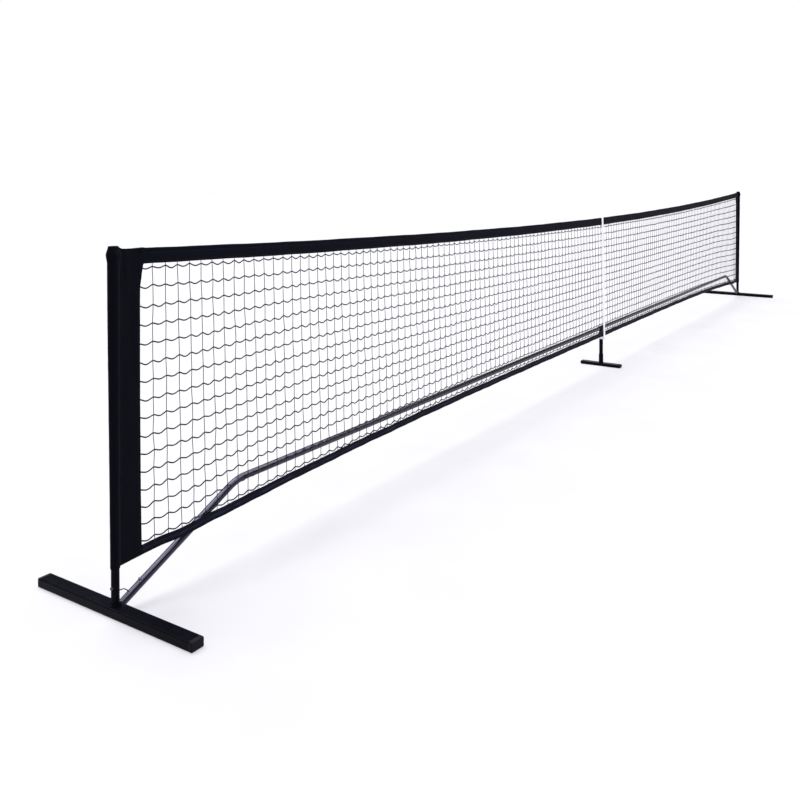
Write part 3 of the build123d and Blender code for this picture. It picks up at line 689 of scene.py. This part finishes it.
def level_cord(wide, knots):
    """Side and path of each stretch of one level cord. It sags between its knots and ends in the hem."""
    sag = ROW_SAG * draw.uniform(0.75, 1.25, len(wide))
    run = {-1: [], 1: []}
    share = np.linspace(0, 1, 9)[:, None]
    for i in range(len(wide) - 1):
        side = 1 if wide[i] + wide[i + 1] > 1e-6 else -1
        cell = knots[i] * (1 - share) + knots[i + 1] * share
        cell[:, 2] -= sag[i] * np.sin(math.pi * share[:, 0]) ** 1.5
        above = cell[:, 2] > hem_line(cell[:, 0]) + HEM_HEIGHT - ROW_IN_HEM
        if above.any():
            run[side].append(cell[above])
    for side, cells in run.items():
        for group in contiguous(cells):
            path = np.concatenate([group[0], *(c[1:] for c in group[1:])])
            if len(path) > 2:
                yield side, path


def make_netting():
    """Upright cords, level cords and knots, in two halves of the net."""
    wide, z, knots = knot_places()
    hem_top = hem_line(wide) + HEM_HEIGHT
    uprights, levels, lumps = {-1: [], 1: []}, {-1: [], 1: []}, {-1: [], 1: []}
    for i in range(1, len(wide) - 1):
        side = 1 if wide[i] > 0 else -1
        kept = [k for k in range(ROW_COUNT) if z[i, k] > hem_top[i] + LOWEST_KNOT]
        start = in_net(wide[i], top_line(wide[i]) - TAPE_HEIGHT + CORD_IN_TAPE)
        end = in_net(knots[i, kept[-1], 0], hem_top[i] - CORD_IN_HEM)
        path = spline([start, *knots[i, kept], end], 5)
        uprights[side].append(tube_arrays(path, UPRIGHT_R, CORD_SIDES))
        for k in kept:
            lumps[side].append(knot_part(knots[i, k], draw.uniform(-0.5, 0.5)))
    for k in range(ROW_COUNT):
        for side, path in level_cord(wide, knots[:, k]):
            levels[side].append(tube_arrays(path, ROW_R, CORD_SIDES))
    for side, word in ((-1, "left"), (1, "right")):
        upright = joined_piece(f"netting_{word}_uprights", uprights[side], NETTING, "net")
        joined_piece(f"netting_{word}_rows", levels[side], NETTING, "net")
        joined_piece(f"netting_{word}_knots", lumps[side], NETTING, "net")
        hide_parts(f"net_mesh_{word}")


make_netting()


# ---- side sleeves ----
SLEEVE_CLOTH = 0.0011
SLEEVE_BOTTOM = sleeve_low.z
SLEEVE_TOP = 0.9203
SEAM_X = 0.0175                     # post axis to the seam that closes the pocket
SEAM_SLANT = 0.0025                 # the seam is nearer the post by this much at the bottom
PANEL_TOP = 0.9165                  # beside the pocket
PANEL_EDGE = 0.0827                 # post axis to the panel's inner edge
EDGE_HOLLOW = 0.0028                # the edge is hollow by this much at mid height
EDGE_FLARE = 0.0085                 # and then goes out by this much, from FLARE_FROM up
FLARE_FROM = 0.812
PANEL_CORNER = 0.094                # post axis to the top corner, which is sewn over the tape's end
CORNER_FROM = 0.874                 # height where the corner starts
LAYER_GAP = 0.00066                 # from the panel's middle plane to each of its two layers
LID_TURNS = 32
# radius and rise above SLEEVE_TOP of the pocket's stitched lid, from its middle round to its underside
LID = ((0.0, 0.0008), (0.0070, 0.0008), (0.0106, 0.0006), (0.0123, -0.0002), (0.01315, -0.0020),
       (0.0130, -0.0038), (0.0123, -0.0040), (0.0121, -0.0028), (0.0113, -0.0016), (0.0, -0.0010))
# height and middle radius of the pocket: it widens upwards into the thick sewn corner
POCKET = ((SLEEVE_BOTTOM, 0.0114), (0.875, 0.0146), (0.898, 0.0176), (SLEEVE_TOP, 0.0124))


def pocket_radius(z):
    """The pocket's middle radius at a height."""
    for (z0, r0), (z1, r1) in zip(POCKET, POCKET[1:]):
        if z <= z1 or z1 == SLEEVE_TOP:
            return r0 + (r1 - r0) * float(smooth((z - z0) / (z1 - z0)))


def panel_top(x):
    """Top edge of the panel at a distance from the post axis. It falls from the pocket to a notch."""
    fall = float(smooth((x - 0.016) / 0.012))
    dip = math.sin(math.pi * min(1.0, max(0.0, (x - 0.030) / 0.060)))
    notch = math.exp(-((x - 0.0790) / 0.0016) ** 2)
    corner = float(smooth((x - 0.082) / 0.004))
    return PANEL_TOP - 0.0040 * fall - 0.0012 * dip - 0.0018 * notch - 0.0012 * corner


def panel_edge(share, z):
    """Distance from the post axis to the panel's inner edge: hollow, flared, then out to the corner."""
    edge = PANEL_EDGE - EDGE_HOLLOW * math.sin(math.pi * min(1.0, share / 0.93)) ** 0.6
    edge += EDGE_FLARE * min(1.0, max(0.0, (z - FLARE_FROM) / 0.064)) ** 1.6
    return edge + (PANEL_CORNER - edge) * float(smooth((z - CORNER_FROM) / 0.006))


def layer_offset(x, z, t, face, seed):
    """How far one layer of the panel is from its middle plane, t of the way from the seam to the edge."""
    pinch = math.exp(-(t / 0.06) ** 2) + math.exp(-((t - 0.93) / 0.03) ** 2)
    gap = LAYER_GAP - 0.00010 * min(1.0, pinch)
    over_tape = float(smooth((x - 0.0780) / 0.005) * smooth((z - 0.810) / 0.020))
    gap += over_tape * (0.0012 + 0.0014 * float(smooth((z - 0.893) / 0.008)))
    near_top = float(smooth((z - 0.72) / 0.15))
    pucker = math.exp(-t / 0.22) * 0.0006 * noise.noise(Vector((seed, 3.0, z / 0.009)))
    pull = 0.0016 * math.sin(math.pi * t) * noise.noise(Vector((t * 1.6 + seed, z * 9.0, 2.0)))
    crease = 0.0008 * noise.noise(Vector((t * 5.0 + z * 26.0, z * 14.0 - t * 2.5, seed)))
    return face * gap + pucker + pull + crease * (0.5 + near_top)


def sleeve_row(share, seed):
    """One row of the sleeve, from the panel's front edge round the post to its back edge. share is 0 at the
    bottom edge and 1 at the top edge. X here is the distance from the post axis towards the net."""
    z_post = SLEEVE_BOTTOM + share * (SLEEVE_TOP - SLEEVE_BOTTOM)
    radius = pocket_radius(z_post)
    seam_x = max(SEAM_X - SEAM_SLANT * (1 - share), radius + 0.003)
    swing = math.acos(radius / seam_x)
    edge = panel_edge(share, z_post)
    sides = []
    for face in (-1, 1):
        side = []
        for t in np.linspace(1, 0, 21):
            x = seam_x + (edge - seam_x) * t
            low = SLEEVE_BOTTOM + (HEM_END - SLEEVE_BOTTOM) * (x - SEAM_X) / (PANEL_EDGE - SEAM_X)
            z = low + share * (panel_top(x) - low)
            side.append((x, layer_offset(x, z, t, face, seed), z))
        touch = np.array((radius * math.cos(swing), face * radius * math.sin(swing), z_post))
        link = [np.array(side[-1]) * (1 - s) + touch * s for s in (0.25, 0.5, 0.75)]
        sides.append(side + link)
    corner = float(smooth((z_post - 0.869) / 0.02) * (1 - smooth((z_post - 0.909) / 0.01)))
    wrap = []
    for angle in np.linspace(-swing, swing - 2 * math.pi, 36):
        fold = 0.00045 * noise.noise(Vector((math.cos(angle) * 2, math.sin(angle) * 2, z_post * 22 + seed)))
        lump = corner * 0.0007 * math.sin(5 * angle + 1.0 + 40 * z_post)
        r = radius + abs(fold) + lump
        wrap.append((r * math.cos(angle), r * math.sin(angle), z_post))
    return np.array(sides[0] + wrap + sides[1][::-1])


def make_lid(word, sign, seed):
    """The round lid sewn on top of the pocket, turned down over its rim."""
    vertices = [(0.0, 0.0, SLEEVE_TOP + LID[0][1])]
    for r, rise in LID[1:-1]:
        for k in range(LID_TURNS):
            a = 2 * math.pi * k / LID_TURNS
            dent = 0.0003 * noise.noise(Vector((r * 300 * math.cos(a), r * 300 * math.sin(a), seed)))
            vertices.append((r * math.cos(a), r * math.sin(a), SLEEVE_TOP + rise + dent))
    vertices.append((0.0, 0.0, SLEEVE_TOP + LID[-1][1]))
    points = np.array(vertices)
    uvs = points[:, :2].copy()
    points[:, 0] += sign * HALF_SPAN
    faces = pole_to_pole(LID_TURNS, len(LID) - 2)
    new_piece(f"{word}_sleeve_top", points, faces, uvs, SLEEVE, "net")


def sew_sleeve(word, sign, rows):
    """Stitches down both faces of the sleeve, beside the pocket and beside the panel's inner edge."""
    parts = []
    for place in (SEAM_X + 0.003, 0.0775):
        pick = np.argmin(np.abs(rows[0, :30, 0] - sign * (HALF_SPAN - place)))
        opposite = rows.shape[1] - 1 - pick
        for column, other in ((pick, opposite), (opposite, pick)):
            line = rows[3:-2, column]
            outward = -1 if line[10, 1] < rows[3:-2, other][10, 1] else 1
            line = line + (0, outward * 0.00062, 0)
            parts.append(stitches(line, (0, outward, 0)))
    joined_piece(f"{word}_sleeve_stitching", parts, THREAD, "net")


def make_sleeve(word, sign):
    """The sleeve of one side; sign turns the row's X into the net's X. Rows are closest in the top tenth,
    where the corner is."""
    seed = 1.7 if sign < 0 else 5.3
    shares = np.concatenate((np.linspace(0, 0.9, 170, endpoint=False), np.linspace(0.9, 1, 46)))
    rows = np.array([sleeve_row(s, seed) for s in shares])
    rows[:, :, 0] = sign * (HALF_SPAN - rows[:, :, 0])
    if sign > 0:
        rows = rows[:, ::-1]
    sleeve = sheet_piece(f"{word}_sleeve_cloth", rows, SLEEVE_CLOTH, SLEEVE, "net")
    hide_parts(f"{word}_sleeve")
    make_lid(word, sign, seed)
    sew_sleeve(word, sign, rows)
    return sleeve


left_sleeve = make_sleeve("left", -1)
right_sleeve = make_sleeve("right", 1)

# ---- centre strap ----
STRAP_WIDTH = strap_high.x - strap_low.x
STRAP_CLOTH = 0.0013
STRAP_OUT = 0.00350                 # the strap's middle, in front of the middle of the net
STRAP_TOP = TOP_MIDDLE + 0.0009
STRAP_BACK = 0.058                  # it reaches this far down behind the net
BOX_LOW = TOP_MIDDLE - 0.0555       # the box with a cross that sews its end down
BOX_HIGH = TOP_MIDDLE - 0.0435
BOX_INSET = 0.004


def make_strap():
    """White webbing up the front of the net, over the tape and down behind it."""
    bend_z = STRAP_TOP - STRAP_OUT
    front = [(STRAP_OUT, z) for z in np.linspace(strap_low.z, bend_z, 130, endpoint=False)]
    over = [(STRAP_OUT * math.cos(a), bend_z + STRAP_OUT * math.sin(a)) for a in np.linspace(0, math.pi, 9)]
    back = [(-STRAP_OUT, z) for z in np.linspace(bend_z, TOP_MIDDLE - STRAP_BACK, 14)[1:]]
    across = np.linspace(-1, 1, 15)
    rows = []
    for out, z in front + over + back:
        sway = 0.0006 * math.sin(z * 17.0 + 0.6) * (1 - smooth((z - 0.75) / 0.08))
        cup = 0.00022 * (across ** 2 - 0.4) * (1 if out > 0 else -1)
        x = across * (STRAP_WIDTH / 2 - STRAP_CLOTH / 2) + sway
        rows.append(in_net(x, z, out + cup))
    strap = sheet_piece("center_strap_webbing", np.array(rows), STRAP_CLOTH, WEBBING, "net")
    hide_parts("center_strap")

    parts = []
    half = STRAP_WIDTH / 2 - BOX_INSET
    corners = ((-half, BOX_LOW), (half, BOX_LOW), (half, BOX_HIGH), (-half, BOX_HIGH), (-half, BOX_LOW),
               (half, BOX_HIGH))
    for face in (1, -1):
        for (x0, z0), (x1, z1) in zip(corners, corners[1:]):
            t = np.linspace(0, 1, 12)
            line = in_net(x0 + (x1 - x0) * t, z0 + (z1 - z0) * t, face * (STRAP_OUT + STRAP_CLOTH / 2))
            parts.append(stitches(line, (0, -face, face * LEAN)))
    joined_piece("center_strap_stitching", parts, WHITE_THREAD, "net")
    return strap


strap = make_strap()

# ---- tie ----
TIE_HALF = 0.00065                  # half the webbing's thickness
TIE_BEND_R = 0.0016                 # round the strap's two edges
TIE_POINTS = 120                    # round the whole band
TIE_LAP = 24                        # of them are lapped over
TIE_STEP = 0.0012


def tie_path():
    """Points round the strap's front and the post's back, and on over the lap. They are evenly spaced."""
    front = tie_low.y + TIE_HALF + TIE_BEND_R
    side = tie_high.x - TIE_HALF - TIE_BEND_R
    circles = (((-side, front), TIE_BEND_R), ((side, front), TIE_BEND_R), ((0.0, 0.0), tie_high.y - TIE_HALF))
    outline = []
    for angle in np.linspace(0.5 * math.pi, 2.5 * math.pi, TIE_POINTS + 1):
        direction = np.array((math.cos(angle), math.sin(angle)))
        centre, r = max(circles, key=lambda c: np.dot(c[0], direction) + c[1])
        outline.append(np.array(centre) + r * direction)
    turns = np.linspace(0.5, 0.5 + 2 * TIE_LAP / TIE_POINTS, TIE_LAP) * math.pi
    spare = [p + np.array((math.cos(a), math.sin(a))) * 0.0014 * min(1.0, k / 4)
             for k, (p, a) in enumerate(zip(outline[1:TIE_LAP], turns))]
    path = np.array(outline + spare)
    gaps = np.linalg.norm(np.diff(path, axis=0), axis=1)
    path = path[np.concatenate(([True], gaps > 1e-6))]
    length = np.concatenate(([0.0], np.cumsum(np.linalg.norm(np.diff(path, axis=0), axis=1))))
    even = np.arange(0, length[-1], TIE_STEP)
    return np.stack([np.interp(even, length, path[:, k]) for k in range(2)], axis=1), length[-1]


def make_tie():
    """Webbing band round the centre post and the strap's lower end, lapped over itself behind the post."""
    path, length = tie_path()
    half_width = (tie_high.z - tie_low.z) / 2 - TIE_HALF
    across = np.linspace(-half_width, half_width, 7)
    rows = np.zeros((len(path), len(across), 3))
    rows[:, :, :2] = path[:, None]
    rows[:, :, 2] = (tie_low.z + tie_high.z) / 2 + across[None, :]
    tie = sheet_piece("strap_tie_webbing", rows[:, ::-1], 2 * TIE_HALF, WEBBING, "frame")
    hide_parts("strap_tie")
    return tie, length


tie, tie_length = make_tie()

# ---- tether cords between the posts and their feet ----
TETHER_R = 0.0013
TETHER_POINTS = ((0.0076, 0.0568), (0.0180, 0.0576), (0.0275, 0.0550),
                 (0.0353, 0.0494), (0.0407, 0.0422), (0.0445, 0.0344))
for word, sign in (("left", -1), ("right", 1)):
    curve = bpy.data.curves.new(f"{word}_tether", "CURVE")
    curve.dimensions = "3D"
    route = curve.splines.new("NURBS")
    route.points.add(len(TETHER_POINTS) - 1)
    for point, (inward, z) in zip(route.points, TETHER_POINTS):
        point.co = (sign * (HALF_SPAN - inward), 0, z, 1)
    route.order_u = 3
    route.use_endpoint_u = True
    route.resolution_u = 16
    curve.bevel_depth = TETHER_R
    curve.bevel_resolution = 4
    curve.use_fill_caps = True
    tether = bpy.data.objects.new(f"{word}_tether_braid", curve)
    bpy.context.scene.collection.objects.link(tether)
    curve.materials.append(BRAID)
    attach(tether, "frame")
    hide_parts(f"{word}_tether_cord")

# ---- floor, lights and sky ----
FLOOR_HALF = 30.0
FLOOR_Z = -0.0005
WALL_LOW = 0.22                     # sine of the height angle where the white wall starts to fade
WALL_HIGH = 0.32                    # and where it has faded to the dark room overhead
WALL_LEVEL = 1.01
ROOM_LEVEL = 0.12


def make_floor():
    """Plain floor, a hair under the feet, which the lights turn white."""
    s = Shader("pale_floor", 0.9, Specular_IOR_Level=0.1)
    body = s.coordinate("Object")
    s.paint(s.colours(s.noise(body, 3.0, 4), (0.3, (0.44, 0.44, 0.44)), (0.7, (0.46, 0.46, 0.46))))
    data = bpy.data.meshes.new("floor")
    corners = [(x * FLOOR_HALF, y * FLOOR_HALF, FLOOR_Z) for x, y in ((-1, -1), (1, -1), (1, 1), (-1, 1))]
    data.from_pydata(corners, [], [(0, 1, 2, 3)])
    floor = bpy.data.objects.new("floor", data)
    bpy.context.scene.collection.objects.link(floor)
    data.materials.append(s.material)


def sun_light(name, towards, strength, width, colour, shadows=True):
    """A broad even light, width degrees wide, from one direction. towards points at it."""
    data = bpy.data.lights.new(name, "SUN")
    data.energy = strength
    data.angle = math.radians(width)
    data.color = colour
    data.use_shadow = shadows
    light = bpy.data.objects.new(name, data)
    bpy.context.scene.collection.objects.link(light)
    light.rotation_euler = Vector(towards).to_track_quat("Z", "Y").to_euler()


def make_sky():
    """Studio surroundings: a low white wall all round the net, and a dark room overhead."""
    world = bpy.data.worlds.new("studio")
    bpy.context.scene.world = world
    world.use_nodes = True
    nodes, links = world.node_tree.nodes, world.node_tree.links
    place = nodes.new("ShaderNodeTexCoord")
    split = nodes.new("ShaderNodeSeparateXYZ")
    links.new(place.outputs["Generated"], split.inputs[0])
    level = nodes.new("ShaderNodeMapRange")
    level.interpolation_type = "SMOOTHSTEP"
    for socket, value in zip(list(level.inputs)[1:5], (WALL_LOW, WALL_HIGH, WALL_LEVEL, ROOM_LEVEL)):
        socket.default_value = value
    links.new(split.outputs[2], level.inputs[0])
    links.new(level.outputs[0], nodes["Background"].inputs["Strength"])
    nodes["Background"].inputs["Color"].default_value = (1, 1, 1, 1)


make_floor()
make_sky()
sun_light("above", towards=(0.02, 0.42, 0.91), strength=2.3, width=45, colour=(0.96, 0.95, 1.0))
sun_light("fill_above", towards=(0.37, -0.12, 0.92), strength=5.1, width=66, colour=(0.95, 0.94, 1.0),
          shadows=False)
sun_light("fill_front", towards=(-0.50, -0.80, 0.33), strength=0.35, width=60, colour=(1.0, 1.0, 1.0),
          shadows=False)
bpy.context.scene.view_settings.view_transform = "Standard"
